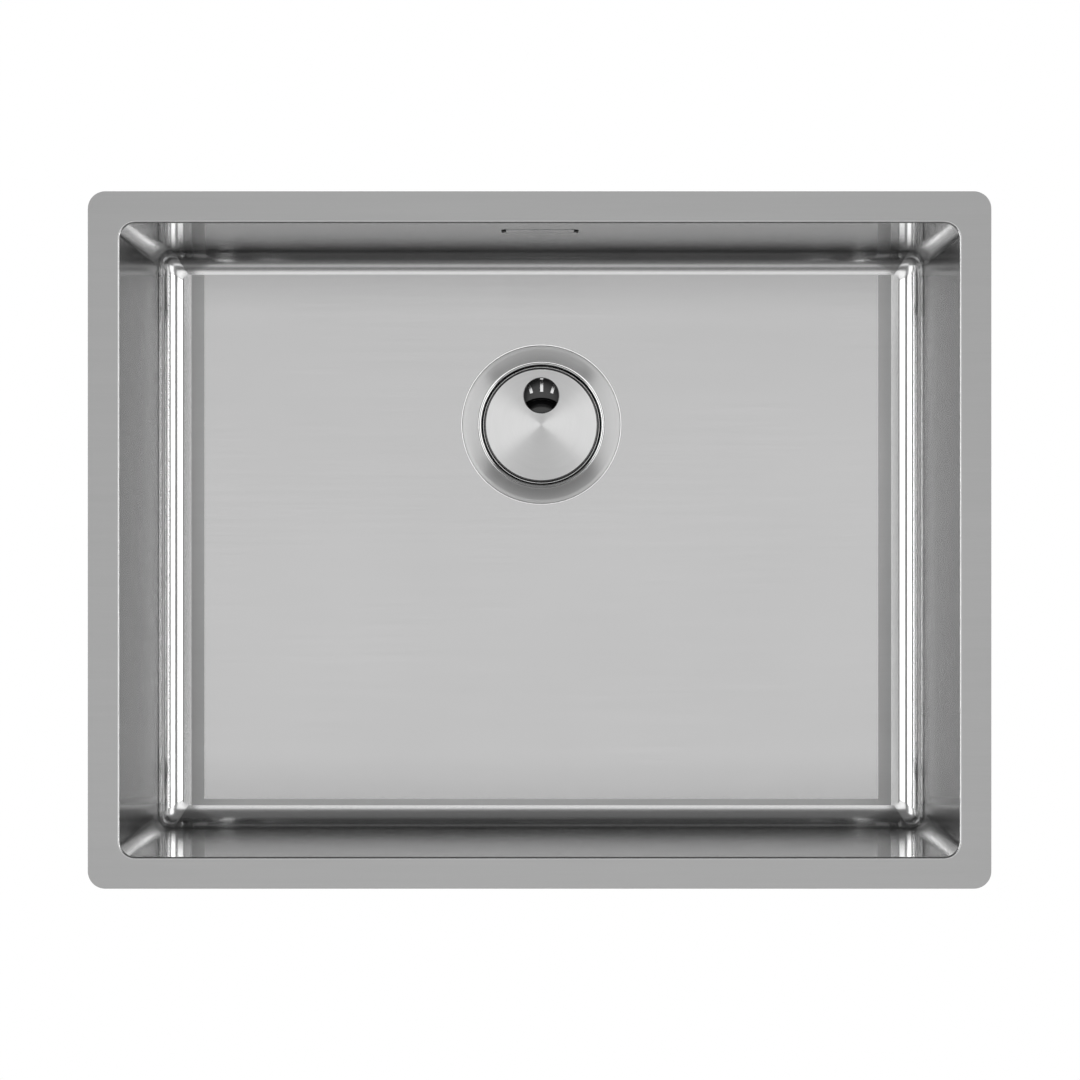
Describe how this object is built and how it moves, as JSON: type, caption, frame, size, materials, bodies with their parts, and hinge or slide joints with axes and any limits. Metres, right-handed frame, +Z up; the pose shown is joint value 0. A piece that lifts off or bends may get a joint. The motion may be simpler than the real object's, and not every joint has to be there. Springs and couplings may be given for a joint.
{
  "type": "undermount kitchen sink",
  "caption": "Rectangular stainless bowl with a flat flange, a basket waste under a round cover plate, and an overflow hose behind the back wall.",
  "frame": {"origin": "centre of the bowl's opening on the top face of the flange, which bears on the underside of the worktop", "axes": "+X to the right along the longest side, +Y to the back wall that holds the overflow, +Z up out of the bowl"},
  "size_m": [0.57, 0.4483, 0.3],
  "materials": {
    "bowl_steel": "brushed along each face",
    "bright_steel": "turned satin",
    "black_plastic": "fine moulded",
    "white_plastic": "fine moulded",
    "grey_plastic": "fine moulded",
    "pad_rubber": "dull",
    "seal_rubber": "dull",
    "brass": "machined"
  },
  "bodies": {
    "sink": {"sink_bowl": "bowl_steel", "pad_right": "pad_rubber", "pad_back": "pad_rubber", "pad_left": "pad_rubber", "pad_front": "pad_rubber", "pad_floor_front": "pad_rubber", "pad_floor_left": "pad_rubber", "pad_floor_right": "pad_rubber", "waste_cup": "bright_steel", "flange_seal": "seal_rubber", "under_seal": "seal_rubber", "waste_body": "white_plastic", "screw_insert": "brass", "clamp_screw": "bright_steel", "screw_washer": "seal_rubber", "overflow_plate": "bowl_steel", "overflow_seal": "seal_rubber", "overflow_head": "white_plastic", "overflow_nut_left": "bright_steel", "overflow_nut_right": "bright_steel", "overflow_hose": "white_plastic", "hose_nut_upper": "grey_plastic", "hose_nut_lower": "grey_plastic", "hose_seal_upper": "seal_rubber", "hose_seal_lower": "seal_rubber"},
    "basket": {"filter_basket": "black_plastic", "stopper_seal": "seal_rubber"},
    "cover": {"cover_plate": "bright_steel"}
  },
  "joints": [
    {"name": "basket_lift", "type": "slide", "parent": "sink", "child": "basket", "axis": [0, 0, 1], "range_m": [0, 0.26]},
    {"name": "cover_lift", "type": "slide", "parent": "basket", "child": "cover", "axis": [0, 0, 1], "range_m": [0, 0.24]}
  ]
}
